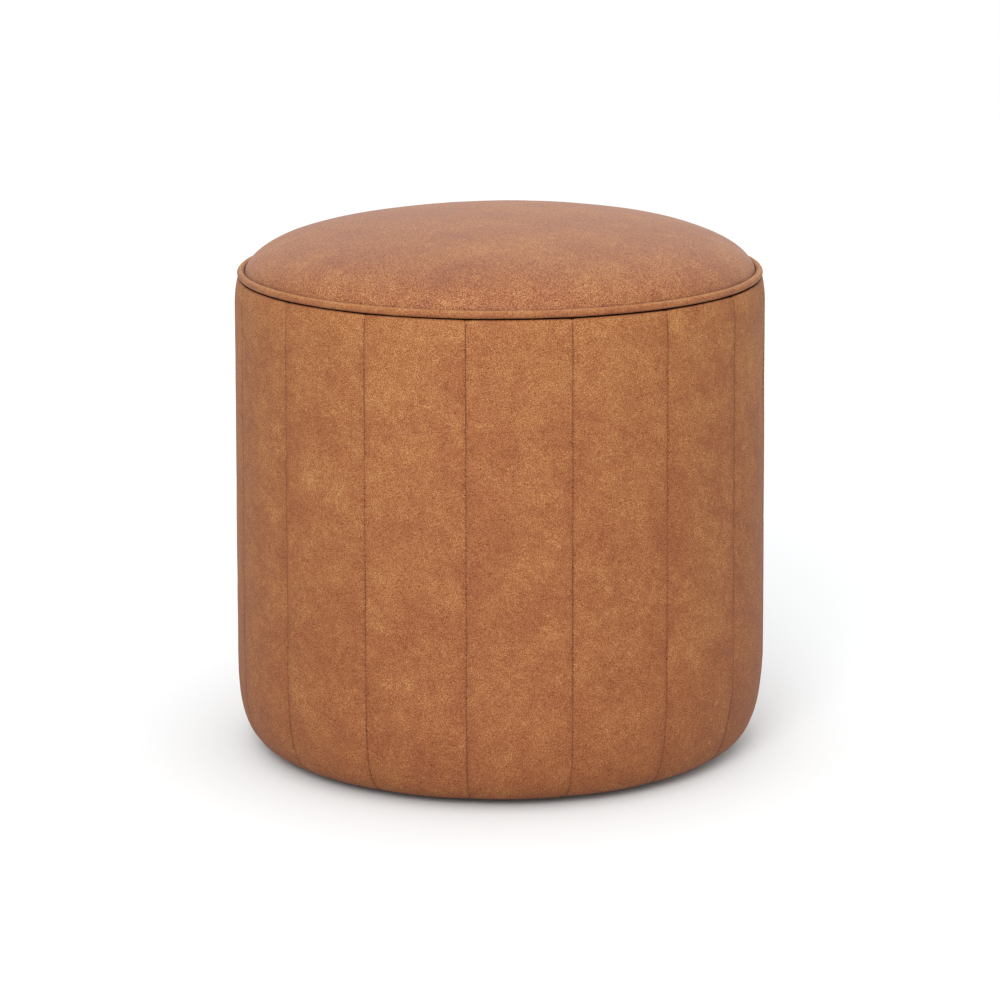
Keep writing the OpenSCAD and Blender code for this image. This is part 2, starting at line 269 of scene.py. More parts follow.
def leather(name, more_light_and_wear=0.0, shine=0.15, nap=0.0, grit=5.7, size=1600.0, speck=0.45):
    """Pull-up leather: cloudy dye, pale creases, fine grain, pores, stitch holes and a dry nap, with painted
    shade in the stitch holes, along the seams and deep in the top seam, and painted light towards the panels'
    tops and along the piping's top, where there is also rub wear.
    """
    t = Tree(name)
    hide = t.attribute("hide", 1)
    drift = t.vec("SUBTRACT", t.add("ShaderNodeTexNoise", 1, None, Vector=hide, Scale=30.0, Detail=3.0),
                  (0.5, 0.5, 0.5))
    loose = t.vec("ADD", hide, t.scaled(drift, (0.02, 0.02, 0.02)))
    clouds = t.noise(loose, 26.0, 6.0, 0.62)
    broad = t.noise(hide, 8.0, 1.5)
    blotch = t.noise(loose, 110.0, 5.0, 0.7)
    speckle = t.noise(hide, 560.0, 3.0, 0.75)

    # pale dry creases: thin ridges of warped noise, let through by slow masks and broken by the grain
    crease = t.math("MULTIPLY", t.lines(t.noise(loose, 34.0, 4.0, 0.55, 0.6), 0.022),
                    t.span(t.noise(hide, 24.0, 2.0), 0.46, 0.66))
    fine_crease = t.math("MULTIPLY", t.lines(t.noise(loose, 95.0, 4.0, 0.6, 0.8), 0.03),
                         t.span(t.noise(hide, 40.0, 2.0), 0.48, 0.66))
    creases = t.math("MULTIPLY", t.math("MAXIMUM", crease, fine_crease), t.span(speckle, 0.34, 0.6, 0.3, 1.0))

    tone = t.swing(blotch, 0.7, t.swing(broad, 0.25, t.swing(clouds, 0.85, 0.5)))
    tone = t.math("MULTIPLY_ADD", creases, 0.36, tone)
    # painted shade: the seam attribute darkens the leather along the side seams, deep in the top seam, in the
    # crease at the crown's rim and under the piping
    seam = t.attribute("seam", 2)
    tone = t.math("MULTIPLY_ADD", seam, -0.34, tone)
    # painted light and rub wear: on the side panels painted light towards their tops and painted shade at the
    # foot, on the piping a painted highlight along its top with rub wear
    light_and_wear = t.attribute("light_and_wear", 2)
    tone = t.math("MULTIPLY_ADD", light_and_wear, 0.3 + more_light_and_wear, tone)
    dye = t.ramp(tone, *DYE)

    # the grain's own colour: dark pinpricks and pale tips, which change blue most and red least
    grain = t.noise(hide, size, 1.0, 0.8)
    pores = t.span(t.cells(hide, 640.0), 0.0, 0.34, 1.0, 0.0)
    fine = t.swing(speckle, speck, t.swing(grain, grit, 0.02))
    fine = t.math("MULTIPLY_ADD", pores, -0.3, fine)
    fine = t.math("MINIMUM", t.math("MAXIMUM", fine, -0.8), 1.2)
    flecks = t.vec("ADD", t.vec("MULTIPLY", fine, (0.62, 1.0, 1.5)), (1.0, 1.0, 1.0))

    # painted shade: dark stitch holes along the seams, and near-black painted shade deep in the top seam
    down = t.add("ShaderNodeSeparateXYZ", 1, None, Vector=hide)
    hole = t.span(t.math("PINGPONG", down, STITCH_PITCH / 2), 0.1 * MM, 0.95 * MM, 1.0, 0.0)
    holes = t.math("MULTIPLY", hole, t.attribute("near", 2))
    holes = t.math("MULTIPLY", holes, t.span(t.noise(hide, 45.0, 2.0), 0.4, 0.62, -0.3, -0.8))
    shade = t.math("MULTIPLY", t.math("ADD", holes, 1.0), t.span(seam, 0.9, 1.0, 1.0, 0.1))
    colour = t.vec("MULTIPLY", t.vec("MULTIPLY", dye, flecks), shade)

    rough = t.span(tone, 0.2, 0.9, 0.62, 0.74, smooth=False)
    waves = t.bump(t.noise(hide, 120.0, 2.0), 0.35, 0.0006)
    lines = t.bump(creases, 0.3, 0.0002, waves)
    pebble = t.cells(hide, 850.0, "SMOOTH_F1")
    relief = t.bump(t.math("ADD", t.math("MULTIPLY", pebble, -0.8), grain), 0.6, 0.0003, lines)
    return t.finish(colour, rough, relief, Specular_IOR_Level=shine, Sheen_Weight=nap, Sheen_Roughness=0.45,
                    Sheen_Tint=(1.0, 0.86, 0.76, 1))


def wood(name, pale, deep, along=(1.0, 1.0, 0.06), scale=60.0, plies=0.0):
    """Sawn wood; plies gives the thickness of a plywood layer along Z, or 0 for solid wood."""
    t = Tree(name)
    at = t.add("ShaderNodeTexCoord", 3)
    grain = t.noise(t.scaled(at, along), scale, 5.0, 0.6, 1.2)
    fibre = t.noise(t.scaled(at, along), scale * 9, 3.0, 0.7)
    tone = t.math("MULTIPLY_ADD", fibre, 0.35, t.math("MULTIPLY", grain, 0.75))
    if plies:
        z = t.add("ShaderNodeSeparateXYZ", 2, None, Vector=at)
        layer = t.math("PINGPONG", z, plies)
        tone = t.math("ADD", tone, t.span(layer, plies * 0.35, plies * 0.65, -0.12, 0.12))
    colour = t.ramp(tone, (0.25, deep), (0.75, pale))
    return t.finish(colour, t.span(tone, 0.2, 0.8, 0.7, 0.5), t.bump(tone, 0.3, 0.0004))


def metal(name, base, darker, rough=0.32):
    """Drawn or plated metal, a little smeared."""
    t = Tree(name)
    at = t.add("ShaderNodeTexCoord", 3)
    smear = t.noise(t.scaled(at, (1, 1, 6)), 420.0, 3.0)
    colour = t.mix(t.span(smear, 0.45, 0.75), (*base, 1), (*darker, 1))
    return t.finish(colour, t.span(smear, 0.3, 0.8, rough, rough + 0.2), t.bump(smear, 0.15, 0.0001),
                    Metallic=1.0)


def plastic(name, base):
    """Moulded plastic with faint scuffs."""
    t = Tree(name)
    at = t.add("ShaderNodeTexCoord", 3)
    texture = t.noise(at, 1500.0, 2.0)
    scuffs = t.span(t.noise(t.scaled(at, (1, 5, 1)), 160.0, 4.0), 0.55, 0.8)
    colour = t.mix(t.math("MULTIPLY", scuffs, 0.35), (*base, 1), (*[c * 2.6 + 0.02 for c in base], 1))
    return t.finish(colour, t.math("MULTIPLY_ADD", scuffs, 0.2, 0.45), t.bump(texture, 0.25, 0.00008),
                    Specular_IOR_Level=0.5)


def fibres(name, base, shade, scale, rough=0.9, lift=0.0006, sheen=0.3):
    """Foam, wadding or felt: an open, slightly mottled texture."""
    t = Tree(name)
    at = t.add("ShaderNodeTexCoord", 3)
    strands = t.noise(at, scale, 4.0, 0.7, 0.6)
    holes = t.cells(at, scale * 1.4)
    tone = t.math("MULTIPLY_ADD", holes, 0.5, t.math("MULTIPLY", strands, 0.7))
    colour = t.ramp(tone, (0.2, shade), (0.75, base))
    return t.finish(colour, rough, t.bump(tone, 0.6, lift), Sheen_Weight=sheen, Sheen_Roughness=0.5)


def nonwoven(name):
    """Black spun-bonded dust cover with its grid of small bond points."""
    t = Tree(name)
    at = t.add("ShaderNodeTexCoord", 3)
    dots = t.cells(t.scaled(at, (1.0, 1.0, 0.0)), 420.0, randomness=0.15)
    strands = t.noise(t.scaled(at, (1.0, 1.0, 0.2)), 900.0, 5.0, 0.75, 1.5)
    height = t.math("MULTIPLY_ADD", t.span(dots, 0.1, 0.35), 0.6, strands)
    colour = t.ramp(strands, (0.3, (0.008, 0.008, 0.009)), (0.75, (0.045, 0.045, 0.048)))
    return t.finish(colour, 0.85, t.bump(height, 0.6, 0.00025), Sheen_Weight=0.3, Sheen_Roughness=0.4)


def thread(name, base):
    """Twisted, waxed polyester thread."""
    t = Tree(name)
    at = t.add("ShaderNodeTexCoord", 3)
    twist = t.noise(t.scaled(at, (1, 1, 2.2)), 1600.0, 2.0)
    colour = t.mix(t.span(twist, 0.35, 0.7), (*[c * 0.55 for c in base], 1), (*base, 1))
    return t.finish(colour, 0.7, t.bump(twist, 0.5, 0.0001), Specular_IOR_Level=0.15)


SIDE_LEATHER = leather("side_leather")
TOP_LEATHER = leather("top_leather", more_light_and_wear=0.05, shine=0.3, nap=0.08, grit=5.0, size=1000.0, speck=1.2)
PIPING_LEATHER = leather("piping_leather", more_light_and_wear=0.12, shine=0.2, nap=0.04, grit=4.0, size=1300.0)


# ---------------------------------------------------------------- side panels
def side_section():
    """Half section of the leather's outer face, from the hem's inner edge to the tab in the top seam."""
    top = SEAM_Z - SLOT
    lean, corner, shoulder = 2.0 * MM, 2.5 * MM, 20 * MM
    a = np.radians(90 * (1 - np.linspace(0, 1, 90) ** 1.5))
    foot = np.stack([HEM_R + (FOOT_R - HEM_R) * np.clip(np.cos(a), 0, 1) ** FOOT_ROUND,
                     HEM_Z + TUCK_H - TUCK_H * np.sin(a) ** FOOT_ROUND], axis=1)
    k = np.linspace(0, 1, 12)
    rise = np.stack([DRUM_R - lean * k ** 2, top - corner - shoulder * (1 - k)], axis=1)
    b = np.radians(np.linspace(0, 90, 10))[1:]
    turn = np.stack([DRUM_R - lean - corner + corner * np.cos(b), top - corner + corner * np.sin(b)], axis=1)
    tab = [[TAB_R + 10 * MM, top], [TAB_R + 7 * MM, SEAM_Z - 0.15 * MM], [TAB_R, SEAM_Z - 0.15 * MM]]
    line = np.concatenate([[[UNDER_R, HEM_Z]], foot, rise, turn, tab])
    keep = np.concatenate([[True], np.linalg.norm(np.diff(line, axis=0), axis=1) > 1e-6])
    return line[keep]


SECTION = side_section()


def section_rows():
    """Distances along the section: an even step, closer at the foot's and the top's tight turns."""
    length = distances(SECTION)[-1]
    coarse = np.arange(0, length - 34 * MM, 2.6 * MM)
    fine = np.arange(coarse[-1] + 1.0 * MM, length - 12 * MM, 1.0 * MM)
    tight = np.arange(fine[-1] + 0.4 * MM, length - 8 * MM, 0.4 * MM)
    return np.concatenate([coarse, fine, tight, [length - 5 * MM, length]])


def hand_set(turn):
    """A direction as the panels were really sewn: a little narrower in front and wider at the back."""
    return turn - SEAM_DRIFT * np.sin(turn - FRONT)


# Where the foot is flattest, in degrees from the front, and by how much, in millimetres
FOOT_SLACK = ((62, 4.2), (-62, 1.3))
SLACK_WIDTH = 30                                   # in degrees


def foot_slack(turn, z):
    """How far the foot falls short of its full round, in millimetres."""
    from_front = (np.degrees(turn - FRONT) + 180) % 360 - 180
    high = np.sin(math.pi * np.clip((z - HEM_Z) / TUCK_H, 0, 1) ** 0.6)
    return sum(depth * np.exp(-((from_front - side) / SLACK_WIDTH) ** 2) for side, depth in FOOT_SLACK) * high


# From the seam inwards: distance along the panel and depth below its face, in millimetres
FOLD = ((0.03, 3.2), (0.03, 1.6), (0.033, 0.8), (0.05, 0.34), (0.1, 0.15), (0.2, 0.05), (0.45, 0.01),
        (0.9, 0.0), (1.4, 0.0), (2.1, 0.0), (3.0, 0.0), (4.0, 0.0), (5.2, 0.0), (6.6, 0.0), (8.2, 0.0))
ROLL_DEPTH, ROLL_WIDTH = 0.45, 6.0                 # a panel's roll in towards its seams, in millimetres


def panel_points(index):
    """Points of one panel's outer face, and what its leather needs there: the place on the hide, the painted
    shade along the seams and deep in the top seam, the nearness to the stitches, and the painted light towards
    the top with painted shade at the foot."""
    rows = section_rows()
    line = resampled(SECTION, rows)
    out = normals_of(line)
    width = DRUM_R * PANEL_A / MM
    edge = np.array(FOLD)
    middle = np.linspace(edge[-1, 0], width - edge[-1, 0], 40)[1:-1]
    at = np.concatenate([edge[:, 0], middle, width - edge[::-1, 0]])
    depth = np.concatenate([edge[:, 1], 0 * middle, edge[::-1, 1]])
    near = np.minimum(at, width - at)
    turn = hand_set(FIRST_SEAM + index * PANEL_A + at / width * PANEL_A)
    radius, z = line[:, 0, None], line[:, 1, None]
    flat = np.stack([radius * np.cos(turn), radius * np.sin(turn), z + 0 * turn], axis=-1)

    # the panel's face: rolled in at its seams, slightly full in the middle, never quite even
    face = -ROLL_DEPTH * np.clip(1 - near / ROLL_WIDTH, 0, 1) ** 2
    face = face - 0.25 * (np.abs(at / width - 0.5) * 2) ** 2
    face = face[None, :] + 0 * radius
    straight = np.clip((z - HEM_Z) / (40 * MM), 0, 1) * np.clip((SEAM_Z - 4 * MM - z) / (16 * MM), 0, 1)
    uneven = 0.34 * smooth_noise(flat, 75 * MM, 11) + 0.13 * smooth_noise(flat, 24 * MM, 12)
    uneven = uneven + 0.05 * smooth_noise(flat, 9 * MM, 13)
    wander = smooth_noise(flat + [0, 0, 3.0 + index], 40 * MM, 14) * np.exp(-((near - 5) / 3.5) ** 2) * 0.28
    # each stitch pulls the fold in, and the fold lies closed inside the top seam
    pull = 0.3 + 1.1 * np.cos(math.pi * rows / STITCH_PITCH)[:, None] ** 2
    closed = np.clip((rows[-1] - TAB_RUN - rows) / (4 * MM), 0.06, 1)[:, None]
    fold = depth[None, :] * np.where(depth[None, :] < 1, pull, 1) * closed
    face = face + (uneven + wander) * (0.25 + 0.75 * straight) - fold
    face = np.where(depth[None, :] > 0.5, np.minimum(face, -fold), face)
    face = (face - foot_slack(turn[None, :], z)) * MM
    points = flat + face[..., None] * np.stack(
        [out[:, 0, None] * np.cos(turn), out[:, 0, None] * np.sin(turn), out[:, 1, None] + 0 * turn], axis=-1)

    hide = np.stack([at[None, :] * MM + 0.37 * index + 0 * z, rows[:, None] + 0 * turn,
                     0.61 * index + 0.33 * at[None, :] * MM + 0.27 * rows[:, None]], axis=-1)
    # painted shade along each seam, strongest at the seam itself
    seam = np.exp(-near / 1.0)[None, :] * 0.2 + 0.25 * np.exp(-near / 6.0)[None, :] + 0 * radius
    # near-black painted shade deep in the top seam, under the piping
    slot_shade = np.exp(-np.clip(rows[-1] - 13.6 * MM - rows, 0, 1) / (0.9 * MM))[:, None]
    # nearness to the stitches, where the stitch holes get their painted shade
    stitched = np.exp(-(near / 0.8) ** 2)[None, :] + 0 * radius
    # painted light growing towards the panel's top, less a band of painted shade round the foot
    top_light = 0.6 * np.exp((rows - rows[-1] + TAB_RUN) / (90 * MM))
    darker = 0.3 * np.exp(-((rows - 60 * MM) / (90 * MM)) ** 2)
    light_and_wear = np.minimum(top_light - darker, 0.6)[:, None] + 0 * turn
    seam = np.clip(np.maximum(seam, slot_shade), 0, 1)
    return points, {"hide": hide, "seam": seam, "near": stitched, "light_and_wear": light_and_wear}


def side_panels():
    """The vertical panels, sewn edge to edge and pulled over the side wadding."""
    for i in range(PANELS):
        points, leather_data = panel_points(i)
        name = f"side_panel_leather_{i + 1}"
        mesh = grid_mesh(name, points)
        for key, values in leather_data.items():
            point_data(mesh, key, values)
        mesh.materials.append(SIDE_LEATHER)
        piece = link(bpy.data.objects.new(name, mesh), f"side_panel_{i + 1}")
        thickened(piece, "leather", LEATHER_T, -1)


def stitch_tube(start, along, out, length, thick):
    """Rings of a short arched stitch that dives into the leather at both ends."""
    k = np.linspace(-1, 1, 7)
    side = np.cross(along, out)
    a = np.linspace(0, 2 * math.pi, 6, endpoint=False)
    lift = 0.5 * thick * (1 - 1.7 * np.abs(k) ** 3)
    size = thick / 2 * np.sqrt(np.clip(1.02 - np.abs(k) ** 6, 0.02, 1))
    centre = start + along * (k * length / 2)[:, None] + out * (lift - 0.1 * thick)[:, None]
    ring = np.cos(a)[:, None] * out + np.sin(a)[:, None] * side
    return centre[:, None, :] + ring[None] * size[:, None, None]


def joined_tubes(name, tubes):
    """One mesh from many tubes with the same rings."""
    tubes = np.array(tubes)
    count, rings, sides = tubes.shape[:3]
    base = np.arange(count)[:, None, None] * rings * sides
    i, j = np.arange(rings - 1)[None, :, None], np.arange(sides)[None, None, :]
    j1 = (j + 1) % sides
    quads = np.stack([base + i * sides + j, base + i * sides + j1, base + (i + 1) * sides + j1,
                      base + (i + 1) * sides + j], axis=-1).reshape(-1, 4)
    caps = np.concatenate([(base[:, 0] + np.arange(sides)[::-1]),
                           (base[:, 0] + (rings - 1) * sides + np.arange(sides))])
    mesh = bpy.data.meshes.new(name)
    mesh.from_pydata(tubes.reshape(-1, 3).tolist(), [], quads.tolist() + caps.tolist())
    mesh.validate()
    mesh.shade_smooth()
    return mesh


def side_stitches():
    """The visible stitches down each side seam."""
    rows = section_rows()
    line = resampled(SECTION, rows)
    out = normals_of(line)
    tubes = []
    for s in np.arange(STITCH_PITCH / 2, rows[-1] - TAB_RUN, STITCH_PITCH):
        k = int(np.argmin(np.abs(rows - s)))
        r, z = (np.interp(s, rows, line[:, c]) for c in (0, 1))
        n = out[k]
        for i in range(PANELS):
            turn = hand_set(FIRST_SEAM + i * PANEL_A)
            radial = np.array([math.cos(turn), math.sin(turn), 0])
            normal = radial * n[0] + np.array([0, 0, n[1]])
            along = radial * -n[1] + np.array([0, 0, n[0]])
            at = radial * r + np.array([0, 0, z]) - normal * (STITCH_DEPTH + foot_slack(turn, z) * MM)
            tubes.append(stitch_tube(at, along, normal, STITCH_PITCH - 0.9 * MM, 0.68 * MM))
    mesh = joined_tubes("side_seam_stitches", tubes)
    mesh.materials.append(thread("seam_thread", THREAD_COLOUR))
    link(bpy.data.objects.new("side_seam_stitches", mesh), "side_seam_threads")


# ---------------------------------------------------------------- piping
PIPING_FROM, PIPING_TO = -112, 205                 # its leather round the cord, in degrees from outwards
PIPING_SIDES = 22                                  # points round the cord


def piping():
    """Leather folded round a cord, with its flange in the seam and a lapped join at the back."""
    turns = np.linspace(0, 2 * math.pi, 900, endpoint=False)
    a = np.radians(np.linspace(PIPING_FROM, PIPING_TO, PIPING_SIDES))
    circle = np.stack([PIPING_RAD * np.cos(a), PIPING_RAD * np.sin(a)], axis=1)
    flange = TAB_R - PIPING_RING
    tail = np.array([[flange, -PIPING_RAD + 1.15 * MM], [flange, -PIPING_RAD + 0.05 * MM]])
    section = np.concatenate([circle, tail])
    join = (turns - math.pi / 2 + math.pi) % (2 * math.pi) - math.pi
    around = np.stack([np.cos(turns), np.sin(turns), 0 * turns], axis=1)
    pos = around * PIPING_RING
    swell = 0.16 * smooth_noise(pos, 18 * MM, 21) + 0.07 * smooth_noise(pos, 5 * MM, 22)
    lap = 1 / (1 + np.exp(-(join[:, None] * PIPING_RING / MM + 7 - section[None, :, 0] / MM * 1.6) / 0.35))
    lap = lap * (1 / (1 + np.exp((join[:, None] * PIPING_RING / MM - 12) / 0.8)))
    round_part = np.concatenate([np.ones(PIPING_SIDES), [0, 0]])
    grow = 1 + (swell[:, None] + 0.75 * lap) * MM / PIPING_RAD * round_part
    rad = PIPING_RING + section[None, :, 0] * grow
    z = PIPING_Z + section[None, :, 1] * grow + 0.25 * MM * smooth_noise(pos, 90 * MM, 23)[:, None]
    points = np.stack([rad * np.cos(turns)[:, None], rad * np.sin(turns)[:, None], z], axis=-1)
    mesh = grid_mesh("piping_leather", points, wrap_rows=True, wrap_cols=True, flip=True)
    hide = np.stack([np.broadcast_to(turns[:, None] * PIPING_RING + 9.1, rad.shape),
                     np.broadcast_to(np.concatenate([a * PIPING_RAD, [0.02, 0.03]])[None, :], rad.shape),
                     np.broadcast_to(turns[:, None] * PIPING_RING * 0.3 + 4.4, rad.shape)], axis=-1)
    point_data(mesh, "hide", hide)
    degrees = np.degrees(a)
    # painted shade on the piping's underside, in its crease against the crown and on its flange inside the seam
    creases = np.exp((PIPING_FROM - degrees) / 22) + np.exp((degrees - 146) / 10)
    creases = np.concatenate([creases, [1, 1]])
    point_data(mesh, "seam", np.clip(np.broadcast_to(creases, rad.shape), 0, 1))
    # painted highlight along the piping's top, with rub wear
    top = np.concatenate([np.clip(np.sin(a + 0.1), 0, 1) ** 3, [0, 0]])
    point_data(mesh, "light_and_wear", np.broadcast_to(top, rad.shape) * 0.9)
    mesh.materials.append(PIPING_LEATHER)
    link(bpy.data.objects.new("piping_leather", mesh), "piping")


# ---------------------------------------------------------------- crowned seat
CROWN_R = PIPING_RING - PIPING_RAD + 0.6 * MM      # the rim is pressed into the piping
CROWN_Z = SEAM_Z - 2.4 * MM
CLOTH_FRAMES = 20
CLOTH_CAP = 6 * MM                                 # the furthest that the cloth run moves a point
CLOTH_GRID = 81                                    # points across the cloth run's grid; the leather has 161
HELD_FROM = 0.985                                  # share of the way out from which the cloth is held
SOFTENING = 8                                      # passes that smooth the cloth run's movement


def crown_height(r):
    """The crown's height at distance r from the axis: a flattened dome."""
    k = np.clip(r / CROWN_R, 0, 1)
    return CROWN_Z + (CROWN_TOP - CROWN_Z) * np.clip(1 - k ** 2.04, 0, 1) ** (1 / 2.39)


def disc_grid(n):
    """An even (n, n) grid of points squeezed into the unit disc."""
    s = np.linspace(-1, 1, n)
    x, y = np.meshgrid(s, s, indexing="xy")
    return x * np.sqrt(1 - y * y / 2), y * np.sqrt(1 - x * x / 2)


def pushed_out(points, held):
    """How far each point of an open cloth grid moves when padding presses on it from below, rim held."""
    mesh = grid_mesh("crown_cloth", points)
    cloth = bpy.data.objects.new("crown_cloth", mesh)
    scene = bpy.context.scene
    scene.collection.objects.link(cloth)
    cloth.vertex_groups.new(name="held").add(np.flatnonzero(held).tolist(), 1.0, "REPLACE")
    run = cloth.modifiers.new("cloth", "CLOTH")
    run.settings.quality = 6
    run.settings.mass = 0.4
    run.settings.tension_stiffness = run.settings.compression_stiffness = 30
    run.settings.shear_stiffness = 15
    run.settings.bending_stiffness = 4
    run.settings.use_pressure = True
    run.settings.uniform_pressure_force = 4
    run.settings.vertex_group_mass = "held"
    run.settings.effector_weights.gravity = 0
    run.point_cache.frame_start, run.point_cache.frame_end = 1, CLOTH_FRAMES
    for f in range(1, CLOTH_FRAMES + 1):
        scene.frame_set(f)
    moved = cloth.evaluated_get(bpy.context.evaluated_depsgraph_get()).to_mesh()
    after = np.empty(points.size, np.float32)
    moved.vertices.foreach_get("co", after)
    scene.frame_set(1)
    bpy.data.objects.remove(cloth)
    bpy.data.meshes.remove(mesh)
    move = after.reshape(points.shape) - points
    size = np.linalg.norm(move, axis=-1, keepdims=True)
    return move * np.minimum(1, CLOTH_CAP / np.maximum(size, 1e-9))


def refined(grid):
    """The grid with a new row and column halfway between each two."""
    for axis in (0, 1):
        grid = np.moveaxis(grid, axis, 0)
        fine = np.empty((2 * len(grid) - 1, *grid.shape[1:]))
        fine[::2], fine[1::2] = grid, (grid[1:] + grid[:-1]) / 2
        grid = np.moveaxis(fine, 0, axis)
    return grid


def softened(grid, times):
    """The grid with each inner point moved towards the middle of its neighbours, a number of times over."""
    grid = grid.copy()
    for _ in range(times):
        grid[1:-1, 1:-1] = (grid[:-2, 1:-1] + grid[2:, 1:-1] + grid[1:-1, :-2] + grid[1:-1, 2:]) / 4
    return grid


def even_out(move, k):
    """Takes out the part of a movement that is the same all round, so only its folds and hollows stay."""
    steps = np.linspace(0, 1, 25)
    which = np.clip(np.digitize(k, steps) - 1, 0, len(steps) - 2)
    middle = (steps[1:] + steps[:-1]) / 2
    out = move.copy()
    for c in range(move.shape[-1]):
        mean = [move[..., c][which == b].mean() for b in range(len(middle))]
        out[..., c] -= np.interp(k, middle, mean)
    return out


def crown_points(n):
    """Points of the crown's face on an even grid, their share k of the way to the rim and their direction."""
    x, y = disc_grid(n)
    k, turn = np.hypot(x, y), np.arctan2(y, x)
    line_r = CROWN_R * np.sin(np.linspace(0, 0.5 * math.pi, 400))
    line = np.stack([line_r, crown_height(line_r)], axis=1)
    line = line[line[:, 1] >= SEAM_Z + 1.2 * MM]
    length = distances(line)[-1]
    even = resampled(line, np.linspace(0, length, 800))
    r, z = (np.interp(k * length, np.linspace(0, length, 800), even[:, c]) for c in (0, 1))
    points = np.stack([r * np.cos(turn), r * np.sin(turn), z], axis=-1)
    inner = 1 - np.clip((k * length - length + 16 * MM) / (16 * MM), 0, 1)
    uneven = 0.6 * smooth_noise(points, 95 * MM, 31) + 0.2 * smooth_noise(points, 34 * MM, 32)
    fuller = 1.7 * (0.5 + 0.5 * np.tanh((points[..., 0] + 15 * MM) / (50 * MM))) * (1 - k ** 8)
    points[..., 2] += (uneven * inner + fuller) * MM
    return points, k, turn, length


def cloth_movement():
    """The uneven part of the cloth run's movement on the crown, outwards and up."""
    start, k, turn, _ = crown_points(CLOTH_GRID)
    move = softened(pushed_out(start, k > HELD_FROM), SOFTENING)
    outwards = move[..., 0] * np.cos(turn) + move[..., 1] * np.sin(turn)
    return refined(even_out(np.stack([outwards, move[..., 2]], axis=-1), k))


def top_cover():
    """The crown's leather: sewn in at its rim, pushed out by the seat's padding, fuller on the right."""
    points, k, turn, length = crown_points(2 * CLOTH_GRID - 1)
    outwards, up = np.moveaxis(cloth_movement(), -1, 0)
    points[..., 0] += outwards * np.cos(turn)
    points[..., 1] += outwards * np.sin(turn)
    points[..., 2] += up
    rim = np.clip((k * length - length + 14 * MM) / (14 * MM), 0, 1)
    points[..., 2] += np.cos(turn * round(math.pi * CROWN_R / STITCH_PITCH)) * rim ** 3 * 0.05 * MM
    mesh = grid_mesh("top_cover_leather", points)
    east, north = k * length * np.cos(turn), k * length * np.sin(turn)
    hide = np.stack([east + 21.3, north, 7.7 + 0.33 * east + 0.27 * north], axis=-1)
    point_data(mesh, "hide", hide)
    # painted shade in the crease at the crown's rim, against the piping
    point_data(mesh, "seam", np.clip(np.exp((4.3 * MM - (length - k * length)) / (0.4 * MM)), 0, 1))
    mesh.materials.append(TOP_LEATHER)
    piece = link(bpy.data.objects.new("top_cover_leather", mesh), "top_cover")
    thickened(piece, "leather", LEATHER_T, -1)


def padding_shell(name, node, outer, inner, cols, loft):
    """A closed shell of padding between two half sections. With loft 1 its outer face has the seams'
    grooves, and its inner face follows the foot's slack as the outer one does."""
    turns = np.linspace(0, 2 * math.pi, cols, endpoint=False)
    line = np.concatenate([outer, inner[::-1]])
    even = turns + SEAM_DRIFT * np.sin(turns - FRONT)
    from_seam = (even - FIRST_SEAM + PANEL_A / 2) % PANEL_A - PANEL_A / 2
    groove = np.exp(-(from_seam * DRUM_R / (3 * MM)) ** 2)
    share = np.concatenate([np.ones(len(outer)), np.zeros(len(inner))])
    pos = np.stack([line[:, 0, None] * np.cos(turns), line[:, 0, None] * np.sin(turns),
                    line[:, 1, None] + 0 * turns], axis=-1)
    depth = share[:, None] * (0.9 * MM * groove[None, :] * loft
                              + 0.25 * MM * (1 + smooth_noise(pos, 14 * MM, 41)))
    slack = foot_slack(turns[None, :], line[:, 1, None]) * MM
    depth = depth + np.where(share > 0, 1, -loft)[:, None] * slack
    out = normals_of(line)
    pos = pos - depth[..., None] * np.stack([out[:, 0, None] * np.cos(turns), out[:, 0, None] * np.sin(turns),
                                             out[:, 1, None] + 0 * turns], axis=-1)
    mesh = grid_mesh(name, pos, wrap_rows=True, wrap_cols=True)
    piece = link(bpy.data.objects.new(name, mesh), node)


def offset_line(line, inset):
    """A half section moved in from its outer face."""
    return line - normals_of(line) * inset


def padding():
    """Foam and wadding behind the side leather, and wadding over the seat foam."""
    top = SEAM_Z - 6 * MM
    side = SECTION[(SECTION[:, 0] >= HEM_R - 1e-6) & (SECTION[:, 1] < top)]
    padding_shell("side_fibre_wadding", "side_wadding", offset_line(side, 2.9 * MM),
                  offset_line(side, 5.3 * MM), 480, 1.0)
    foam = offset_line(side, 5.6 * MM)
    foam = foam[foam[:, 0] > SHELL_R + 4 * MM]
    inner = np.stack([np.full(len(foam), SHELL_R + 1.2 * MM), foam[:, 1]], axis=1)
    padding_shell("side_foam_sleeve", "side_foam", foam, inner, 240, 0.0)
    s = np.sin(np.linspace(0.02, 0.5 * math.pi, 60))
    dome = np.stack([CROWN_R * s, crown_height(CROWN_R * s)], axis=1)[::-1]
    dome = dome[dome[:, 1] > SEAM_Z + 7 * MM]
    padding_shell("seat_fibre_wadding", "seat_wadding", offset_line(dome, 2.6 * MM),
                  offset_line(dome, 7.2 * MM), 240, 0.0)


